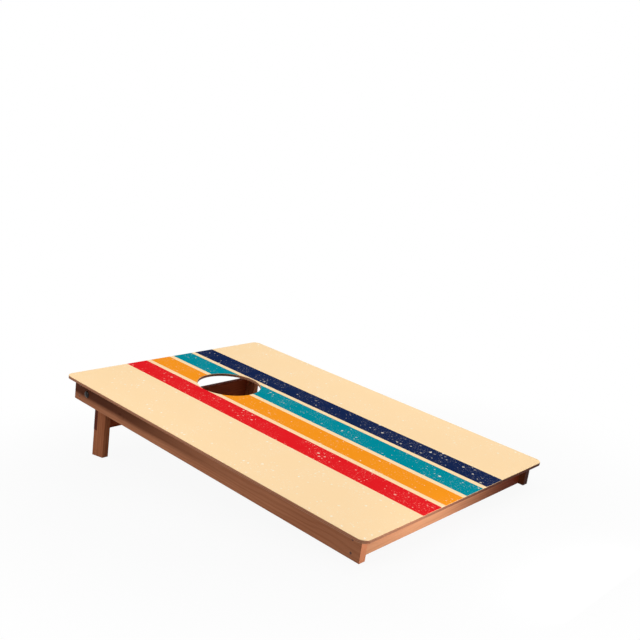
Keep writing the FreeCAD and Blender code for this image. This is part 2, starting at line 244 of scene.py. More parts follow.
class StudioSettings(bpy.types.PropertyGroup):
    """Camera, lamps and floor."""

    place: FloatVectorProperty(
        name="Camera place", description="Where the camera stands", subtype="TRANSLATION",
        unit="LENGTH", default=(1.3364, -1.3977, 0.6422),
    )
    azimuth: degrees("Azimuth", "Turn of the view from looking across the board", 42.205)
    elevation: degrees("Elevation", "How far the camera looks down", 8.653)
    roll: degrees("Roll", "Turn of the camera about its own view", -0.537)
    lens: number("Lens", "Focal length on a 36 mm sensor", 49.69, subtype="DISTANCE_CAMERA")
    overhead: watts("Overhead power", "Power of the softbox above", 67.0)
    side: watts("Side power", "Power of the softbox beside the left rail", 5.2)
    across: watts("Far power", "Power of the softbox beyond the right rail", 7.0)
    fill: watts("Fill power", "Power of the low lamp before the front corner", 1.28)
    ambient: number("Ambient", "Strength of the room's even light", 0.12, min=0)
    floor_radius: length("Floor", "Radius of the floor", 14.0)
    floor_white: number("Floor white", "Share of plain white by the board", 0.93, min=0, max=1)
    floor_near: length("Shadow", "Distance from the middle where the shadow starts to fade", 0.45)
    floor_far: length("Shadow's end", "Distance from the middle where the floor is all white", 1.0)


WHITE = (1.0, 1.0, 1.0, 1.0)

# Each lamp's power setting, its place and target, and its width and height, in metres.
LAMPS = {
    "overhead_softbox": ("overhead", (-0.3, 0.2, 2.4), (-0.3, 0.2, 0.0), (3.6, 4.4)),
    "side_softbox": ("side", (0.0, -1.3, 0.75), (0.0, -0.3, 0.1), (0.6, 0.4)),
    "far_softbox": ("across", (0.5, 1.4, 0.9), (0.2, 0.3, 0.1), (0.6, 0.4)),
    "corner_fill": ("fill", (0.78, -0.08, 0.05), (0.43, -0.08, 0.03), (0.3, 0.08)),
}


# ---------------------------------------------------------------- shader helpers


def feed(tree, node, inputs):
    """Sets a node's inputs, each by name or number, to a value or to another node's output."""
    for key, value in inputs.items():
        if isinstance(value, bpy.types.NodeSocket):
            tree.links.new(value, node.inputs[key])
        else:
            node.inputs[key].default_value = value


def add(tree, kind, inputs=None, **settings):
    """Adds a node with its settings and its inputs."""
    made = tree.nodes.new(kind)
    for name, value in settings.items():
        setattr(made, name, value)
    feed(tree, made, inputs or {})
    return made


def maths(tree, operation, *values, clamp=False):
    """The output of a Math node."""
    inputs = dict(enumerate(values))
    return add(tree, "ShaderNodeMath", inputs, operation=operation, use_clamp=clamp).outputs[0]


def vector_maths(tree, operation, *values, output=0):
    """The output of a Vector Math node: 0 is a vector and 1 a number."""
    inputs = dict(enumerate(values))
    return add(tree, "ShaderNodeVectorMath", inputs, operation=operation).outputs[output]


def size_of(tree, vector):
    """The length of a vector."""
    return vector_maths(tree, "LENGTH", vector, output=1)


def facing(tree, normal, direction):
    """How far a surface faces a direction: 1 towards it, 0 beside it and -1 away from it."""
    return vector_maths(tree, "DOT_PRODUCT", normal, direction, output=1)


def shifted(tree, vector, **inputs):
    """A vector moved or turned by a Mapping node."""
    return add(tree, "ShaderNodeMapping", dict(inputs, Vector=vector)).outputs[0]


def mix(tree, share, first, second, blend_type="MIX"):
    """Two colours mixed by a share of the second."""
    inputs = {0: share, 6: first, 7: second}
    made = add(tree, "ShaderNodeMix", inputs, data_type="RGBA", blend_type=blend_type)
    return made.outputs[2]


def ramp(tree, value, low, high, start=0.0, end=1.0):
    """A value carried smoothly from the range low to high on to the range start to end."""
    inputs = {0: value, 1: low, 2: high, 3: start, 4: end}
    return add(tree, "ShaderNodeMapRange", inputs, interpolation_type="SMOOTHSTEP").outputs[0]


def noise(tree, vector, scale, detail=2.0, roughness=0.5):
    """The grey value of a noise texture. scale counts waves to a metre: one number, or three for
    noise that is drawn out along an axis."""
    if isinstance(scale, tuple):
        vector = vector_maths(tree, "MULTIPLY", vector, scale)
        scale = 1.0
    inputs = {"Vector": vector, "Scale": scale, "Detail": detail, "Roughness": roughness}
    return add(tree, "ShaderNodeTexNoise", inputs).outputs[0]


def new_group(name, inputs, outputs):
    """An empty shader node group. Each socket has a name and a kind, and each input a default."""
    tree = bpy.data.node_groups.new(name, "ShaderNodeTree")
    for label, kind, default in inputs:
        socket = tree.interface.new_socket(label, in_out="INPUT", socket_type="NodeSocket" + kind)
        socket.default_value = default
    for label, kind in outputs:
        tree.interface.new_socket(label, in_out="OUTPUT", socket_type="NodeSocket" + kind)
    return tree, tree.nodes.new("NodeGroupInput").outputs, tree.nodes.new("NodeGroupOutput")


def use_group(tree, group, inputs):
    """Places a node group and returns its outputs."""
    return add(tree, "ShaderNodeGroup", inputs, node_tree=bpy.data.node_groups[group]).outputs


def empty_material(name):
    """A material with no nodes yet, and its node tree."""
    material = bpy.data.materials.new(name)
    material.use_nodes = True
    material.node_tree.nodes.clear()
    return material, material.node_tree


def new_material(name, **constants):
    """A material with one Principled shader, whose plain values are set on its own sockets."""
    material, tree = empty_material(name)
    shader = tree.nodes.new("ShaderNodeBsdfPrincipled")
    for label, value in constants.items():
        shader.inputs[label.replace("_", " ")].default_value = value
    add(tree, "ShaderNodeOutputMaterial", {0: shader.outputs[0]})
    return material, tree, shader


def placed(tree, centre, axes):
    """Object coordinates in a frame of a piece's own: its centre, and its axes as rows."""
    coordinates = tree.nodes.new("ShaderNodeTexCoord").outputs["Object"]
    turn = Matrix([list(row) for row in axes]).transposed().to_euler()
    inputs = {"Vector": coordinates, "Location": tuple(centre), "Rotation": turn}
    return add(tree, "ShaderNodeMapping", inputs, vector_type="TEXTURE").outputs[0]


def eye_rays(tree):
    """1 for rays that show a surface as it is: straight, in a reflection or through glass."""
    path = tree.nodes.new("ShaderNodeLightPath").outputs
    seen = maths(tree, "ADD", path["Is Camera Ray"], path["Is Glossy Ray"])
    return maths(tree, "ADD", seen, path["Is Transmission Ray"], clamp=True)


def bumped(tree, shader, height, distance, strength=1.0):
    """Feeds a height in the range 0 to 1 to the shader as fine relief, distance deep."""
    inputs = {"Height": height, "Distance": distance, "Strength": strength}
    feed(tree, shader, {"Normal": add(tree, "ShaderNodeBump", inputs).outputs[0]})


def dress(node, material):
    """Gives a CAD node its finish."""
    slots = frame["nodes"][node].data.materials
    slots.clear()
    slots.append(material)


# ---------------------------------------------------------------- shared effects


def make_speckle_group():
    """Small irregular flecks on a plane. Cells of a scattered pattern each hold a fleck whose size
    is the cell's own chance value, and a slow noise gathers the flecks into clusters. Haze adds
    fainter marks between them, where a fine noise is high."""
    tree, given, result = new_group(
        "Print Flecks",
        [
            ("Vector", "Vector", (0, 0, 0)), ("Cell", "Float", 0.01), ("Amount", "Float", 0.5),
            ("Haze", "Float", 0.0),
        ],
        [("Mask", "Float")],
    )
    inputs = {"Vector": given["Vector"], "Scale": 420.0, "Detail": 2.0}
    wobble = add(tree, "ShaderNodeTexNoise", inputs).outputs[1]
    centred = vector_maths(tree, "SUBTRACT", wobble, (0.5, 0.5, 0.5))
    shift = add(tree, "ShaderNodeVectorMath", {0: centred, 3: 0.004}, operation="SCALE").outputs[0]
    bent = vector_maths(tree, "ADD", given["Vector"], shift)
    scale = maths(tree, "DIVIDE", 1.0, given["Cell"])
    cells = add(
        tree, "ShaderNodeTexVoronoi", {"Vector": bent, "Scale": scale, "Randomness": 1.0},
        voronoi_dimensions="2D",
    )
    chance = add(tree, "ShaderNodeSeparateColor", {0: cells.outputs["Color"]}).outputs
    cluster = noise(tree, given["Vector"], 14.0, 3.0, 0.6)
    dense = ramp(tree, cluster, 0.36, 0.68)
    limit = maths(tree, "MULTIPLY", dense, given["Amount"])
    chosen = maths(tree, "LESS_THAN", chance[0], limit)
    size = maths(tree, "MULTIPLY_ADD", maths(tree, "POWER", chance[1], 3.0), 0.26, 0.04)
    edge = maths(tree, "SUBTRACT", size, cells.outputs["Distance"])
    solid = ramp(tree, edge, -0.02, 0.05)
    strength = maths(tree, "MULTIPLY_ADD", maths(tree, "POWER", chance[2], 2.0), 0.7, 0.2)
    mask = maths(tree, "MULTIPLY", maths(tree, "MULTIPLY", solid, chosen), strength)
    grit = ramp(tree, noise(tree, given["Vector"], 330.0, 4.0, 0.7), 0.56, 0.72, 0.0, 0.45)
    haze = maths(tree, "MULTIPLY", maths(tree, "MULTIPLY", grit, dense), given["Haze"])
    feed(tree, result, {"Mask": maths(tree, "MAXIMUM", mask, haze)})


def make_grain_group():
    """Wood in metres, its grain along X. Growth rings are waves of the distance from the pith,
    which lies along X, bent by a slow noise and round a knot. Fibres are noise drawn out along
    X, and pores are short dark dashes. A face that the grain runs into takes the end grain's
    own colour."""
    knot_size = 3.0 * MM
    tree, given, result = new_group(
        "Wood Grain",
        [
            ("Vector", "Vector", (0, 0, 0)), ("Pith", "Vector", (0, 0.02, -0.05)),
            ("Normal", "Vector", (0, 0, 1)), ("Along", "Vector", (1, 0, 0)),
            ("Pale", "Color", (0.5, 0.3, 0.2, 1)), ("Dark", "Color", (0.2, 0.1, 0.05, 1)),
            ("End", "Color", (0.3, 0.15, 0.1, 1)), ("Ring", "Float", 0.004),
            ("Contrast", "Float", 1.0), ("Knot", "Vector", (9, 9, 0)),
        ],
        [("Color", "Color"), ("Roughness", "Float"), ("Height", "Float")],
    )
    vector = given["Vector"]
    bend = noise(tree, vector, (2.2, 16.0, 16.0), 3.0, 0.55)
    offset = vector_maths(tree, "SUBTRACT", vector, given["Pith"])
    distance = size_of(tree, vector_maths(tree, "MULTIPLY", offset, (0.0, 1.0, 1.0)))
    bent = maths(tree, "MULTIPLY_ADD", bend, 0.030, distance)
    from_knot = vector_maths(tree, "SUBTRACT", vector, given["Knot"])
    beside = vector_maths(tree, "MULTIPLY", from_knot, (0.5, 1.0, 0.0))
    knot_away = maths(tree, "DIVIDE", size_of(tree, beside), knot_size)
    bent = maths(tree, "MULTIPLY_ADD", ramp(tree, knot_away, 0.8, 5.0, 1.0, 0.0), 0.007, bent)
    knot = ramp(tree, knot_away, 0.5, 1.2, 1.0, 0.0)
    phase = maths(tree, "MULTIPLY", maths(tree, "DIVIDE", bent, given["Ring"]), 2 * math.pi)
    wave = maths(tree, "MULTIPLY_ADD", maths(tree, "SINE", phase), 0.5, 0.5)
    late = maths(tree, "POWER", wave, 2.5)
    coarse = noise(tree, vector, (6.0, 260.0, 260.0), 5.0, 0.65)
    fine = noise(tree, vector, (30.0, 1500.0, 1500.0), 3.0, 0.6)
    patch = noise(tree, vector, (5.0, 22.0, 22.0), 2.0, 0.5)
    drawn = vector_maths(tree, "MULTIPLY", vector, (90.0, 1100.0, 1100.0))
    pores = add(tree, "ShaderNodeTexVoronoi", {"Vector": drawn, "Scale": 1.0}).outputs["Distance"]
    pore = ramp(tree, pores, 0.10, 0.24, 1.0, 0.0)
    endwise = maths(tree, "ABSOLUTE", facing(tree, given["Normal"], given["Along"]))
    end = ramp(tree, endwise, 0.6, 0.9)
    streak = maths(tree, "MULTIPLY", maths(tree, "SUBTRACT", coarse, 0.5), 1.5)
    grain = maths(tree, "MULTIPLY_ADD", late, 0.42, maths(tree, "MULTIPLY_ADD", fine, 0.25, 0.05))
    grain = maths(tree, "ADD", grain, streak)
    grain = maths(tree, "MULTIPLY_ADD", maths(tree, "SUBTRACT", patch, 0.5), 0.9, grain)
    grain = maths(tree, "MULTIPLY_ADD", pore, 0.30, grain)
    grain = maths(tree, "MULTIPLY_ADD", knot, 2.5, grain)
    centred = maths(tree, "SUBTRACT", grain, 0.35)
    share = maths(tree, "MULTIPLY_ADD", centred, given["Contrast"], 0.4, clamp=True)
    shade = mix(tree, share, given["Pale"], given["Dark"])
    cut = mix(tree, share, given["End"], mix(tree, 0.45, given["End"], given["Dark"]))
    shade = mix(tree, end, shade, cut)
    rough = maths(tree, "MULTIPLY_ADD", share, 0.16, 0.44)
    relief = maths(tree, "MULTIPLY_ADD", pore, -0.6, maths(tree, "MULTIPLY_ADD", coarse, 0.4, fine))
    feed(tree, result, {"Color": shade, "Roughness": rough, "Height": relief})


def make_heart_and_shade_group():
    """The share of a darker colour: painted shade, on the left rail partly also heartwood. It fades
    in along the piece from one place to another, and up the piece from one height to another, and a
    noise drawn out along X frays its edge."""
    tree, given, result = new_group(
        "Heartwood",
        [
            ("Vector", "Vector", (0, 0, 0)),
            ("Along None", "Float", 0.0), ("Along Full", "Float", 1.0),
            ("Up None", "Float", -1.0), ("Up Full", "Float", -0.9),
        ],
        [("Share", "Float")],
    )
    place = add(tree, "ShaderNodeSeparateXYZ", {0: given["Vector"]}).outputs
    frayed = noise(tree, given["Vector"], (4.0, 90.0, 90.0), 3.0, 0.6)
    fray = maths(tree, "SUBTRACT", frayed, 0.5)
    along = maths(tree, "MULTIPLY_ADD", fray, 0.12, place[0])
    up = maths(tree, "MULTIPLY_ADD", fray, 0.008, place[1])
    along_share = ramp(tree, along, given["Along None"], given["Along Full"])
    up_share = ramp(tree, up, given["Up None"], given["Up Full"])
    feed(tree, result, {"Share": maths(tree, "MULTIPLY", along_share, up_share)})


def make_scuff_group():
    """Handling marks on metal: a slow noise for dulled patches and a fine one for scratches."""
    tree, given, result = new_group(
        "Metal Scuffs",
        [("Vector", "Vector", (0, 0, 0)), ("Smooth", "Float", 0.3), ("Dull", "Float", 0.5)],
        [("Roughness", "Float"), ("Tone", "Float"), ("Height", "Float")],
    )
    patch = noise(tree, given["Vector"], 260.0, 4.0, 0.6)
    fine = noise(tree, given["Vector"], (2600.0, 390.0, 2600.0), 3.0)
    span = maths(tree, "SUBTRACT", given["Dull"], given["Smooth"])
    dulled = ramp(tree, patch, 0.35, 0.7)
    rough = maths(tree, "MULTIPLY_ADD", dulled, span, given["Smooth"])
    tone = maths(tree, "MULTIPLY_ADD", patch, 0.35, maths(tree, "MULTIPLY_ADD", fine, 0.2, 0.72))
    feed(tree, result, {"Roughness": rough, "Tone": tone, "Height": fine})


def stain_wood(node, along, face, tones, pith, contrast=0.7, heart_and_shade=None, knot=None):
    """Gives one piece its stained wood. along and face are board directions: the way the grain
    runs, and the side that the pith lies under. pith is its place across and below the piece's
    middle. tones are the pale, dark and end grain. heart_and_shade is the colour of painted shade,
    partly also heartwood, and its places as the shade group takes them, and knot is a place along
    and up the piece."""
    pale, dark, end = tones
    low, high = board_box(node)
    centre = to_row((low + high) / 2)
    x_axis = np.array(along, float)
    z_axis = np.array(face, float)
    axes = np.array([x_axis, np.cross(z_axis, x_axis), z_axis]) @ BOARD_AXES
    material, tree, shader = new_material("stained_" + node, Specular_IOR_Level=0.03)
    vector = placed(tree, centre, axes)
    normal = tree.nodes.new("ShaderNodeTexCoord").outputs["Normal"]
    inputs = {
        "Vector": vector, "Pith": pith, "Normal": normal, "Along": tuple(axes[0]),
        "Pale": rgba(pale), "Dark": rgba(dark), "End": rgba(end), "Contrast": contrast,
        "Ring": bpy.context.scene.cornhole_wood.ring,
    }
    if heart_and_shade:
        deep, places = heart_and_shade
        # The darker colour is painted shade, on the left rail partly also heartwood; shadow is its
        # dark grain.
        depth = use_group(tree, "Heartwood", dict(places, Vector=vector))["Share"]
        inputs["Pale"] = mix(tree, depth, rgba(pale), rgba(deep))
        shadow = [0.7 * value for value in deep]
        inputs["Dark"] = mix(tree, depth, rgba(dark), rgba(shadow))
    if knot:
        inputs["Knot"] = (*knot, 0.0)
    grain = use_group(tree, "Wood Grain", inputs)
    feed(tree, shader, {"Base Color": grain["Color"], "Roughness": grain["Roughness"]})
    bumped(tree, shader, grain["Height"], 0.2 * MM, 0.7)
    dress(node, material)


def metal_material(name, tint, smooth, dull, metallic=1.0):
    """Plated or coated metal with handling marks. smooth and dull are its patches' roughness."""
    material, tree, shader = new_material(name, Metallic=metallic)
    vector = tree.nodes.new("ShaderNodeTexCoord").outputs["Object"]
    scuffs = use_group(tree, "Metal Scuffs", {"Vector": vector, "Smooth": smooth, "Dull": dull})
    tone = add(tree, "ShaderNodeCombineColor", dict.fromkeys(range(3), scuffs["Tone"])).outputs[0]
    shade = mix(tree, 1.0, rgba(tint), tone, "MULTIPLY")
    feed(tree, shader, {"Base Color": shade, "Roughness": scuffs["Roughness"]})
    bumped(tree, shader, scuffs["Height"], 0.03 * MM)
    return material


# ---------------------------------------------------------------- surfaces


SHARP_EDGE = math.radians(35)


def round_steps(count):
    """The angles of a full turn in equal steps."""
    return np.arange(count) * 2 * math.pi / count


def band(values, columns):
    """A profile's values, one to a row, repeated round the axis."""
    return np.repeat(np.array(values)[:, None], columns, 1)


def wrap_faces(rows, columns, ring=False):
    """Faces of a grid that closes round its columns. With ring, its last row joins its first.
    Without it, a fan closes each end on a point: number 0 at the start, and the last one."""
    column = np.arange(columns)
    beside = (column + 1) % columns
    row = np.arange(rows if ring else rows - 1)[:, None]
    above = (row + 1) % rows
    base = 0 if ring else 1
    corners = [
        row * columns + column, row * columns + beside,
        above * columns + beside, above * columns + column,
    ]
    faces = (np.stack(corners, -1).reshape(-1, 4) + base).tolist()
    if not ring:
        last = 1 + (rows - 1) * columns
        start = np.stack([np.zeros_like(column), beside + 1, column + 1], -1)
        end = np.stack([np.full_like(column, rows * columns + 1), last + column, last + beside], -1)
        faces += start.tolist() + end.tolist()
    return faces


def turned(along, radius, angle, ring=False):
    """Points of a turned piece: at each row a distance along its axis, and at each column an
    angle, where radius may change with both. The axis is X, and angle 0 points to Y. Ends that
    close on a point add the axis point of the first and last row."""
    along = np.broadcast_to(along, radius.shape)
    points = np.stack([along, radius * np.cos(angle), radius * np.sin(angle)], -1).reshape(-1, 3)
    if ring:
        return points
    first = [along[0].mean(), 0.0, 0.0]
    last = [along[-1].mean(), 0.0, 0.0]
    return np.vstack([first, points, last])


def outer_end(box, direction):
    """Middle of the end of a fastener's box that faces away from the way it points."""
    low, high = box
    return np.where(direction > 0, low, np.where(direction < 0, high, (low + high) / 2))


def new_piece(name, surface, origins, direction, material, body):
    """A mesh piece that rides on a body: one surface set at several places, its axis in the same
    board direction at all of them, smooth but for its sharp edges."""
    points, faces = surface
    axes = np.array([direction, np.cross(NORMAL, direction), NORMAL])
    copies = (points @ axes)[None, :, :] + np.array(origins)[:, None, :]
    all_faces = [
        [corner + copy * len(points) for corner in face]
        for copy in range(len(origins))
        for face in faces
    ]
    mesh = bpy.data.meshes.new(name)
    mesh.from_pydata(to_row(copies.reshape(-1, 3)).tolist(), [], all_faces)
    mesh.validate()
    mesh.shade_smooth()
    mesh.set_sharp_from_angle(angle=SHARP_EDGE)
    mesh.materials.append(material)
    piece = bpy.data.objects.new(name, mesh)
    bpy.context.scene.collection.objects.link(piece)
    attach(piece, body)
    return piece


def bolt_surface(sizes, head, long):
    """A carriage bolt, from the underside of its head. Its dome is a quarter ellipse turned about
    the axis. Under it a square neck, whose radius at an angle is the distance to the square's
    side, runs out into the round shank, and the thread is a wave that climbs one pitch a turn."""
    columns = 48
    angle = round_steps(columns)
    dome = np.linspace(0.06, 1.0, 14) * math.pi / 2
    rim = sizes.head_high * 0.14
    dome_along = -(sizes.head_high - rim) * np.cos(dome) - rim
    head_along = np.concatenate([dome_along, [-rim * 0.3, 0.0, 0.0, 0.0]])
    under = [head, head * 0.985, head * 0.75, sizes.neck * 0.75]
    head_radius = np.concatenate([head * np.sin(dome), under])
    half = sizes.neck / 2
    square = half / np.maximum(np.abs(np.cos(angle)), np.abs(np.sin(angle)))
    square = np.minimum(square, half * 1.28)
    neck_along = np.array([0.0, sizes.neck_long * 0.85, sizes.neck_long])
    neck_radius = np.stack([square, square, np.full(columns, sizes.shank)])
    pitch = sizes.thread_pitch
    start = long - sizes.thread_long
    turns = np.linspace(start, long - 0.9 * MM, int(sizes.thread_long / pitch * 7))
    phase = turns[:, None] / pitch - angle / (2 * math.pi)
    depth = np.abs((phase % 1.0) * 2 - 1.0) * 0.56 * MM
    run_in = np.clip((turns - start) / (1.5 * MM), 0, 1)[:, None]
    thread_radius = sizes.shank - depth * run_in
    end_along = [long - 0.5 * MM, long]
    end_radius = band([sizes.shank * 0.8, sizes.shank * 0.72], columns)
    along = np.concatenate([head_along, neck_along, [start - 0.2 * MM], turns, end_along])
    radius = np.vstack(
        [
            band(head_radius, columns), neck_radius, band([sizes.shank], columns),
            thread_radius, end_radius,
        ]
    )
    return turned(along[:, None], radius, angle), wrap_faces(len(along), columns)


def washer_surface(outer, bore, thick):
    """A stamped washer: a flat loop with rounded edges carried round the axis."""
    columns = 56
    turn = round_steps(28)
    flat = np.sign(np.cos(turn)) * np.abs(np.cos(turn)) ** 0.35
    tall = np.sign(np.sin(turn)) * np.abs(np.sin(turn)) ** 0.5
    radius = (outer + bore) / 2 + (outer - bore) / 2 * flat
    along = thick / 2 + thick / 2 * tall
    points = turned(along[:, None], band(radius, columns), round_steps(columns), ring=True)
    return points, wrap_faces(len(turn), columns, ring=True)


def nut_surface(sizes, tall):
    """A lock nut. The radius is the smaller of the hexagon's side and of a cone that trims its
    corners, then the round collar, and the loop comes back through the bore."""
    columns = 72
    angle = round_steps(columns)
    sector = (angle + math.pi / 6) % (math.pi / 3) - math.pi / 6
    half = sizes.nut_flats / 2
    corner = half / math.cos(math.pi / 6)
    step, collar, bore = sizes.hexagon, sizes.collar, sizes.shank
    trim = [
        (0.0, half * 0.97), (0.35 * MM, corner * 0.96), (0.8 * MM, corner * 1.01),
        (step - 0.6 * MM, corner * 1.01), (step - 0.15 * MM, corner * 0.95), (step, collar * 1.03),
    ]
    cap = [
        (step + 0.25 * MM, collar), (tall - 0.7 * MM, collar), (tall - 0.25 * MM, collar * 0.94),
        (tall, collar * 0.84), (tall, collar * 0.74), (tall - 0.5 * MM, collar * 0.72),
    ]
    hole = [(step, bore), (step / 2, bore), (0.35 * MM, bore), (0.0, bore * 1.14)]
    along, radius = np.array(trim + cap + hole).T
    radius = band(radius, columns)
    radius[:len(trim)] = np.minimum(half / np.cos(sector), radius[:len(trim)])
    points = turned(along[:, None], radius, angle, ring=True)
    return points, wrap_faces(len(along), columns, ring=True)


def screw_surface(head, shank, long):
    """A countersunk screw with a cross recess. Inside the head's rim the depth at a place is a
    smooth step of its distance from the nearer arm of the cross, deepest at the middle."""
    columns = 64
    angle = round_steps(columns)
    rings = np.linspace(0.06, 0.97, 18)[:, None]
    x = np.abs(rings * np.cos(angle))
    y = np.abs(rings * np.sin(angle))
    reach = np.clip((0.62 - np.maximum(x, y)) / 0.12, 0, 1)
    wide = np.clip((0.17 - np.minimum(x, y)) / 0.07, 0, 1)
    depth = head * 0.42 * wide * reach * (1 - 0.45 * rings)
    body = [
        (0.04 * MM, head), (0.25 * MM, head),
        (head - shank + 0.25 * MM, shank), (long - 0.2 * MM, shank),
    ]
    body_along, body_radius = np.array(body).T
    along = np.vstack([depth, band(body_along, columns)])
    radius = np.vstack([band(rings[:, 0] * head, columns), band(body_radius, columns)])
    return turned(along, radius, angle), wrap_faces(len(along), columns)


# ---------------------------------------------------------------- operators


class CORNHOLE_OT_effects(bpy.types.Operator):
    """Make the node groups that several finishes share"""

    bl_idname = "cornhole.effects"
    bl_label = "Shared effects"

    def execute(self, context):
        make_speckle_group()
        make_grain_group()
        make_heart_and_shade_group()
        make_scuff_group()
        return {"FINISHED"}


class CORNHOLE_OT_face(bpy.types.Operator):
    """Print four stripes with worn flecks on the face film"""

    bl_idname = "cornhole.face"
    bl_label = "Printed face"

    def execute(self, context):
        look = context.scene.cornhole_print
        material, tree, shader = new_material("printed_film", Specular_IOR_Level=0.0)
        vector = placed(tree, BOARD_ORIGIN, BOARD_AXES)
        half_long = board_box("face_film")[1][0] / 2
        middle = shifted(tree, vector, Location=(-half_long, 0, 0))
        square = shifted(tree, middle, Rotation=(0, 0, look.turn))
        across = add(tree, "ShaderNodeSeparateXYZ", {0: square}).outputs[1]
        ragged = maths(tree, "SUBTRACT", noise(tree, vector, 300.0, 3.0, 0.6), 0.5)
        edge = maths(tree, "MULTIPLY_ADD", ragged, look.ragged, across)
        pitch = look.stripe + look.gap
        width = 4 * pitch + look.gap
        inputs = {0: edge, 1: -width / 2, 2: width / 2}
        place = add(tree, "ShaderNodeMapRange", inputs).outputs[0]
        bands = add(tree, "ShaderNodeValToRGB", {0: place})
        bands.color_ramp.interpolation = "CONSTANT"
        stops = bands.color_ramp.elements
        stops.remove(stops[1])
        stops[0].position = 0.0
        stops[0].color = rgba(look.ground)
        stripes = [look.left_outer, look.left_inner, look.right_inner, look.right_outer]
        for nth, shade in enumerate(stripes):
            start = (look.gap + nth * pitch) / width
            stops.new(start).color = rgba(shade)
            stops.new(start + look.stripe / width).color = rgba(look.ground)
        inputs = {"Vector": vector, "Cell": look.fleck_cell, "Amount": look.wear, "Haze": 1.0}
        large = use_group(tree, "Print Flecks", inputs)["Mask"]
        # A finer and fainter layer is moved aside, so that the two don't line up.
        moved = vector_maths(tree, "ADD", vector, (3.1, 1.7, 0.0))
        inputs = {"Vector": moved, "Cell": look.fleck_cell * 0.55, "Amount": look.wear * 0.9}
        small = use_group(tree, "Print Flecks", inputs)["Mask"]
        flecks = maths(tree, "MAXIMUM", large, maths(tree, "MULTIPLY", small, 0.75))
        # Flecks are stronger on the ground, which is told from the stripes by its green value.
        green = add(tree, "ShaderNodeSeparateColor", {0: bands.outputs[0]}).outputs[1]
        on_ground = ramp(tree, green, 0.5, 0.7, 1.0, 2.6)
        shown = maths(tree, "MULTIPLY", flecks, on_ground, clamp=True)
        shade = mix(tree, shown, bands.outputs[0], rgba(look.fleck))
        rough = maths(tree, "MULTIPLY_ADD", noise(tree, vector, 35.0, 3.0), 0.12, 0.44)
        rough = maths(tree, "MULTIPLY_ADD", flecks, 0.12, rough)
        feed(tree, shader, {"Base Color": shade, "Roughness": rough})
        weave = noise(tree, vector, 900.0, 2.0)
        bumped(tree, shader, maths(tree, "MULTIPLY_ADD", flecks, -0.6, weave), 0.06 * MM, 0.6)
        dress("face_film", material)
        return {"FINISHED"}


class CORNHOLE_OT_deck(bpy.types.Operator):
    """Show the deck's plies at its edges and stained veneer on its faces, with painted shade along
    its front edge
    """

    bl_idname = "cornhole.deck"
    bl_label = "Plywood deck"

    def execute(self, context):
        look = context.scene.cornhole_wood
        low, high = board_box("deck_panel")
        thick = high[2] - low[2]
        material, tree, shader = new_material("deck_plywood", Specular_IOR_Level=0.05)
        vector = placed(tree, BOARD_ORIGIN, BOARD_AXES)
        normal = tree.nodes.new("ShaderNodeTexCoord").outputs["Normal"]
        shared = {
            "Normal": normal, "Pale": rgba(look.ply_pale), "Dark": rgba(look.ply_dark),
            "End": rgba(look.ply_dark), "Ring": look.veneer_ring, "Pith": (0.0, 0.0, -0.24),
            "Contrast": 0.5,
        }
        turn = shifted(tree, vector, Rotation=(0, 0, math.pi / 2))
        inputs = dict(shared, Vector=vector, Along=tuple(BOARD_AXES[0]))
        lengthwise = use_group(tree, "Wood Grain", inputs)
        inputs = dict(shared, Vector=turn, Along=tuple(BOARD_AXES[1]))
        crosswise = use_group(tree, "Wood Grain", inputs)
        height = add(tree, "ShaderNodeSeparateXYZ", {0: vector}).outputs[2]
        wavy = maths(tree, "MULTIPLY_ADD", noise(tree, vector, 60.0, 2.0), 0.4 * MM, height)
        layer = maths(tree, "DIVIDE", wavy, -thick / look.plies)
        odd = maths(tree, "MODULO", maths(tree, "FLOOR", layer), 2.0)
        upward = facing(tree, normal, tuple(BOARD_AXES[2]))
        face = ramp(tree, maths(tree, "ABSOLUTE", upward), 0.55, 0.85)
        edge = maths(tree, "SUBTRACT", 1.0, face)
        crossing = maths(tree, "MULTIPLY", odd, edge)
        shade = mix(tree, crossing, lengthwise["Color"], crosswise["Color"])
        seam = maths(tree, "ABSOLUTE", maths(tree, "SUBTRACT", maths(tree, "FRACT", layer), 0.5))
        glue = maths(tree, "MULTIPLY", ramp(tree, seam, 0.42, 0.49), edge)
        darker = mix(tree, 1.0, shade, (0.45, 0.36, 0.30, 1.0), "MULTIPLY")
        shade = mix(tree, maths(tree, "MULTIPLY", glue, 0.7), shade, darker)
        # X of turn grows toward the left rail, and painted shade darkens the front edge to the
        # right.
        forward = facing(tree, normal, tuple(BOARD_AXES[0]))
        inputs = {"Vector": turn, "Along None": 0.20, "Along Full": -0.15}
        # The share of painted shade on the front edge.
        stain = use_group(tree, "Heartwood", inputs)["Share"]
        stain = maths(tree, "MULTIPLY", stain, ramp(tree, forward, 0.3, 0.8))
        shade = mix(tree, stain, shade, rgba(look.ply_painted_shade))
        # The print's ground colour covers the upper face, which shows round the film.
        printed = ramp(tree, upward, 0.6, 0.8)
        shade = mix(tree, printed, shade, rgba(context.scene.cornhole_print.ground))
        feed(tree, shader, {"Base Color": shade, "Roughness": lengthwise["Roughness"]})
        bumped(tree, shader, lengthwise["Height"], 0.2 * MM, 0.6)
        dress("deck_panel", material)
        return {"FINISHED"}


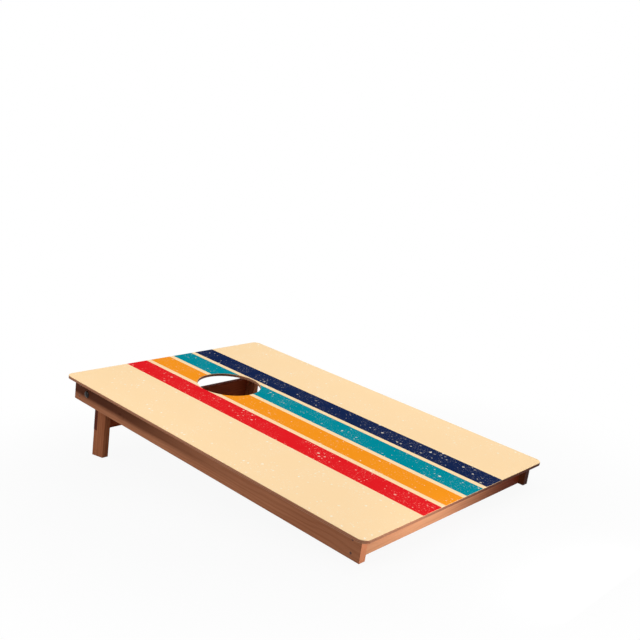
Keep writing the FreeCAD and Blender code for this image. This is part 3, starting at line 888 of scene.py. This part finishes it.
class CORNHOLE_OT_rails(bpy.types.Operator):
    """Stain the four rails of the frame, each with its own grain, and paint shade on three of them
    """

    bl_idname = "cornhole.rails"
    bl_label = "Rails"

    def execute(self, context):
        look = context.scene.cornhole_wood
        stain = (look.rail_pale, look.rail_dark, look.rail_end)
        # The right rail's cut end takes a painted shade colour.
        right = (look.rail_pale, look.rail_dark, look.right_end_painted_shade)
        front = (look.front_pale, look.front_dark, look.rail_end)
        # Painted shade toward the back and the top of the left rail, under the deck's overhang,
        # partly also heartwood.
        upper = {"Along None": 0.24, "Along Full": -0.36, "Up None": -0.016, "Up Full": -0.003}
        # Painted shade toward the right rail's front end.
        ahead = {"Along None": 0.12, "Along Full": 0.42}
        # Painted shade toward the front rail's right end.
        beyond = {"Along None": -0.07, "Along Full": 0.26}
        rail_contrast = 0.55
        stain_wood(
            "left_side_rail", ALONG, -ACROSS, stain, (0, 0.012, -0.045), rail_contrast,
            heart_and_shade=(look.rail_heart_and_shade, upper), knot=(-0.263, -0.002),
        )
        stain_wood(
            "right_side_rail", ALONG, ACROSS, right, (0, -0.018, -0.038), rail_contrast,
            heart_and_shade=(look.rail_heart_and_shade, ahead), knot=(0.118, 0.006),
        )
        stain_wood(
            "front_rail", ACROSS, ALONG, front, (0, 0.010, -0.050), rail_contrast,
            heart_and_shade=(look.front_painted_shade, beyond),
        )
        stain_wood("back_rail", ACROSS, -ALONG, stain, (0, -0.014, -0.042), rail_contrast)
        return {"FINISHED"}


class CORNHOLE_OT_legs(bpy.types.Operator):
    """Stain the folding legs and their crossbar"""

    bl_idname = "cornhole.legs"
    bl_label = "Legs and crossbar"

    def execute(self, context):
        look = context.scene.cornhole_wood
        stain = (look.leg_pale, look.leg_dark, look.leg_end)
        bar = (look.bar_pale, look.bar_dark, look.bar_end)
        stain_wood("left_leg", NORMAL, -ACROSS, stain, (0, 0.008, -0.030))
        stain_wood("right_leg", NORMAL, ACROSS, stain, (0, -0.012, -0.034))
        stain_wood("leg_crossbar", ACROSS, -ALONG, bar, (0, 0.016, -0.040))
        return {"FINISHED"}


class CORNHOLE_OT_spacers(bpy.types.Operator):
    """Stain the spacer blocks beside the leg pivots"""

    bl_idname = "cornhole.spacers"
    bl_label = "Spacer blocks"

    def execute(self, context):
        look = context.scene.cornhole_wood
        tones = (look.spacer_pale, look.spacer_dark, look.spacer_dark)
        stain_wood("left_leg_spacer", ALONG, ACROSS, tones, (0, 0.02, -0.03))
        stain_wood("right_leg_spacer", ALONG, ACROSS, tones, (0, -0.01, -0.036))
        return {"FINISHED"}


class CORNHOLE_OT_pivots(bpy.types.Operator):
    """Make the carriage bolts, washers and lock nuts that the legs turn on"""

    bl_idname = "cornhole.pivots"
    bl_label = "Pivot hardware"

    def execute(self, context):
        look = context.scene.cornhole_metal
        bolt_finish = metal_material("dark_zinc", look.bolt, 0.18, 0.38)
        zinc_finish = metal_material("bright_zinc", look.zinc, 0.28, 0.5)
        nylon_finish = metal_material("nylon_ring", look.nylon, 0.4, 0.55, metallic=0.0)
        sizes = context.scene.cornhole_fasteners
        for side, inward in SIDES.items():
            self.make_bolt(side, inward, bolt_finish, sizes)
            self.make_washers(side, inward, zinc_finish, sizes)
            self.make_nut(side, inward, zinc_finish, nylon_finish, sizes)
        return {"FINISHED"}

    def make_bolt(self, side, inward, finish, sizes):
        """The bolt's box gives its head's width and its length."""
        box = solid_boxes(side + "_pivot_bolt")[0]
        wide, long, _ = box[1] - box[0]
        surface = bolt_surface(sizes, wide / 2, long - sizes.head_high)
        under_head = outer_end(box, inward) + inward * sizes.head_high
        piece = new_piece(
            side + "_carriage_bolt", surface, [under_head], inward, finish, "frame"
        )
        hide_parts(side + "_pivot_bolt")

    def make_washers(self, side, inward, finish, sizes):
        """One washer on each side of the leg."""
        boxes = solid_boxes(side + "_pivot_washers")
        wide, thick, _ = boxes[0][1] - boxes[0][0]
        surface = washer_surface(wide / 2, sizes.washer_bore, thick)
        origins = [outer_end(box, inward) for box in boxes]
        piece = new_piece(
            side + "_stamped_washers", surface, origins, inward, finish, "frame"
        )
        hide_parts(side + "_pivot_washers")

    def make_nut(self, side, inward, finish, insert_finish, sizes):
        """The nut, and the nylon ring in its collar."""
        box = solid_boxes(side + "_lock_nut")[0]
        tall = (box[1] - box[0])[1]
        seat = outer_end(box, inward)
        surface = nut_surface(sizes, tall)
        piece = new_piece(
            side + "_nylon_lock_nut", surface, [seat], inward, finish, "frame"
        )
        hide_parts(side + "_lock_nut")
        insert = washer_surface(sizes.insert_outer, sizes.insert_bore, sizes.insert_high)
        under_ring = seat + inward * (tall - sizes.insert_deep)
        new_piece(
            side + "_nut_ring", insert, [under_ring], inward, insert_finish, "frame"
        )


class CORNHOLE_OT_screws(bpy.types.Operator):
    """Make the cross-recess screws of the rails and the crossbar, and finish the brads"""

    bl_idname = "cornhole.screws"
    bl_label = "Screws and brads"

    def execute(self, context):
        look = context.scene.cornhole_metal
        sizes = context.scene.cornhole_fasteners
        finish = metal_material("brown_coat", look.screw, 0.35, 0.6, metallic=0.0)
        boxes = solid_boxes("rail_screws")
        for side, inward in SIDES.items():
            group = [box for box in boxes if (box[0] + box[1]) @ inward < 0]
            wide, long, _ = group[0][1] - group[0][0]
            surface = screw_surface(wide / 2, sizes.rail_shank, long)
            heads = [outer_end(box, inward) for box in group]
            piece = new_piece(
                side + "_rail_screws", surface, heads, inward, finish, "frame"
            )
            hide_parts("rail_screws")
        boxes = solid_boxes("crossbar_screws")
        long, wide, _ = boxes[0][1] - boxes[0][0]
        surface = screw_surface(wide / 2, sizes.bar_shank, long)
        heads = [outer_end(box, ALONG) for box in boxes]
        piece = new_piece("bar_screws", surface, heads, ALONG, finish, "legs")
        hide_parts("crossbar_screws")
        for node in ("deck_brads", "spacer_brads"):
            dress(node, finish)
        return {"FINISHED"}


class CORNHOLE_OT_stage(bpy.types.Operator):
    """Set up the floor, the room's light, the lamps and the camera"""

    bl_idname = "cornhole.stage"
    bl_label = "Studio"

    def execute(self, context):
        look = context.scene.cornhole_studio
        self.make_floor(context, look)
        self.make_world(context, look)
        for name, (power, place, target, size) in LAMPS.items():
            self.make_lamp(context, name, getattr(look, power), place, target, size)
        self.make_camera(context, look)
        context.scene.view_settings.view_transform = "Standard"
        return {"FINISHED"}

    def make_floor(self, context, look):
        """A disc: rings of points whose radius grows from the middle, closed by a fan."""
        rings, sides = 24, 96
        radius = np.linspace(0.2, 1.0, rings)[:, None] ** 2 * look.floor_radius
        angle = round_steps(sides)
        x = radius * np.cos(angle)
        y = radius * np.sin(angle)
        points = np.stack([x, y, np.zeros_like(x)], -1).reshape(-1, 3)
        points = np.vstack([[0.0, 0.0, 0.0], points])
        column = np.arange(sides)
        beside = (column + 1) % sides
        inner = np.arange(rings - 1)[:, None] * sides + 1
        outer = inner + sides
        quads = np.stack([inner + column, outer + column, outer + beside, inner + beside], -1)
        fan = np.stack([np.zeros_like(column), column + 1, beside + 1], -1)
        mesh = bpy.data.meshes.new("studio_floor")
        mesh.from_pydata(points.tolist(), [], quads.reshape(-1, 4).tolist() + fan.tolist())
        mesh.materials.append(self.floor_material(look))
        floor = bpy.data.objects.new("studio_floor", mesh)
        context.scene.collection.objects.link(floor)

    def floor_material(self, look):
        """Grey and matt for the light it returns. Where it is seen, most of it is plain white, all
        of it far from the board, so the shadow stays and the rest is an even background."""
        material, tree = empty_material("pale_floor")
        matt = add(tree, "ShaderNodeBsdfDiffuse", {0: (0.5, 0.5, 0.5, 1.0)}).outputs[0]
        white = add(tree, "ShaderNodeEmission", {0: WHITE, 1: 1.0}).outputs[0]
        spot = tree.nodes.new("ShaderNodeTexCoord").outputs["Object"]
        away = size_of(tree, spot)
        share = ramp(tree, away, look.floor_near, look.floor_far, look.floor_white, 1.0)
        seen = add(tree, "ShaderNodeMixShader", {0: share, 1: matt, 2: white}).outputs[0]
        below = tree.nodes.new("ShaderNodeNewGeometry").outputs["Backfacing"]
        clear = tree.nodes.new("ShaderNodeBsdfTransparent").outputs[0]
        seen = add(tree, "ShaderNodeMixShader", {0: below, 1: seen, 2: clear}).outputs[0]
        shader = add(tree, "ShaderNodeMixShader", {0: eye_rays(tree), 1: matt, 2: seen}).outputs[0]
        add(tree, "ShaderNodeOutputMaterial", {0: shader})
        return material

    def make_world(self, context, look):
        """White where it is seen, and an even grey light on everything else."""
        world = bpy.data.worlds.new("studio_room")
        world.use_nodes = True
        tree = world.node_tree
        tree.nodes.clear()
        light = add(tree, "ShaderNodeBackground", {0: WHITE, 1: look.ambient}).outputs[0]
        white = add(tree, "ShaderNodeBackground", {0: WHITE, 1: 1.0}).outputs[0]
        eye = eye_rays(tree)
        shader = add(tree, "ShaderNodeMixShader", {0: eye, 1: light, 2: white}).outputs[0]
        add(tree, "ShaderNodeOutputWorld", {0: shader})
        context.scene.world = world

    def make_lamp(self, context, name, power, place, target, size):
        """A softbox, size wide and high, that faces its target and isn't seen itself."""
        lamp = bpy.data.lights.new(name, "AREA")
        lamp.shape = "RECTANGLE"
        lamp.size, lamp.size_y = size
        lamp.energy = power
        holder = bpy.data.objects.new(name, lamp)
        holder.location = place
        holder.rotation_euler = (Vector(target) - Vector(place)).to_track_quat("-Z", "Y").to_euler()
        holder.visible_camera = False
        context.scene.collection.objects.link(holder)

    def make_camera(self, context, look):
        """Azimuth 0 looks along +Y. The roll turns the camera about its own view."""
        level, down = math.cos(look.elevation), math.sin(look.elevation)
        view = Vector((-math.sin(look.azimuth) * level, math.cos(look.azimuth) * level, -down))
        upright = view.to_track_quat("-Z", "Y").to_matrix()
        rolled = Matrix.Rotation(look.roll, 3, view) @ upright
        lens = bpy.data.cameras.new("studio_camera")
        lens.sensor_width = 36.0
        lens.lens = look.lens
        camera = bpy.data.objects.new("studio_camera", lens)
        camera.location = look.place
        camera.rotation_euler = rolled.to_euler()
        context.scene.collection.objects.link(camera)
        context.scene.camera = camera


SETTINGS = {
    "cornhole_print": PrintSettings,
    "cornhole_wood": WoodSettings,
    "cornhole_metal": MetalSettings,
    "cornhole_fasteners": FastenerSettings,
    "cornhole_studio": StudioSettings,
}
OPERATORS = (
    CORNHOLE_OT_effects,
    CORNHOLE_OT_face,
    CORNHOLE_OT_deck,
    CORNHOLE_OT_rails,
    CORNHOLE_OT_legs,
    CORNHOLE_OT_spacers,
    CORNHOLE_OT_pivots,
    CORNHOLE_OT_screws,
    CORNHOLE_OT_stage,
)


class CORNHOLE_PT_looks(bpy.types.Panel):
    """Settings and steps of the cornhole board's looks"""

    bl_idname = "CORNHOLE_PT_looks"
    bl_label = "Cornhole board"
    bl_space_type = "VIEW_3D"
    bl_region_type = "UI"
    bl_category = "Cornhole"

    def draw(self, context):
        for name in SETTINGS:
            box = self.layout.box()
            settings = getattr(context.scene, name)
            for label in settings.__annotations__:
                box.prop(settings, label)
        for operator in OPERATORS:
            self.layout.operator(operator.bl_idname)


def register():
    for made in (*SETTINGS.values(), *OPERATORS, CORNHOLE_PT_looks):
        bpy.utils.register_class(made)
    for name, group in SETTINGS.items():
        setattr(bpy.types.Scene, name, PointerProperty(type=group))


def unregister():
    for name in SETTINGS:
        delattr(bpy.types.Scene, name)
    for made in (CORNHOLE_PT_looks, *reversed(OPERATORS), *SETTINGS.values()):
        bpy.utils.unregister_class(made)


def main():
    register()
    bpy.ops.cornhole.effects()
    bpy.ops.cornhole.face()
    bpy.ops.cornhole.deck()
    bpy.ops.cornhole.rails()
    bpy.ops.cornhole.legs()
    bpy.ops.cornhole.spacers()
    bpy.ops.cornhole.pivots()
    bpy.ops.cornhole.screws()
    bpy.ops.cornhole.stage()


if __name__ == "__main__":
    main()
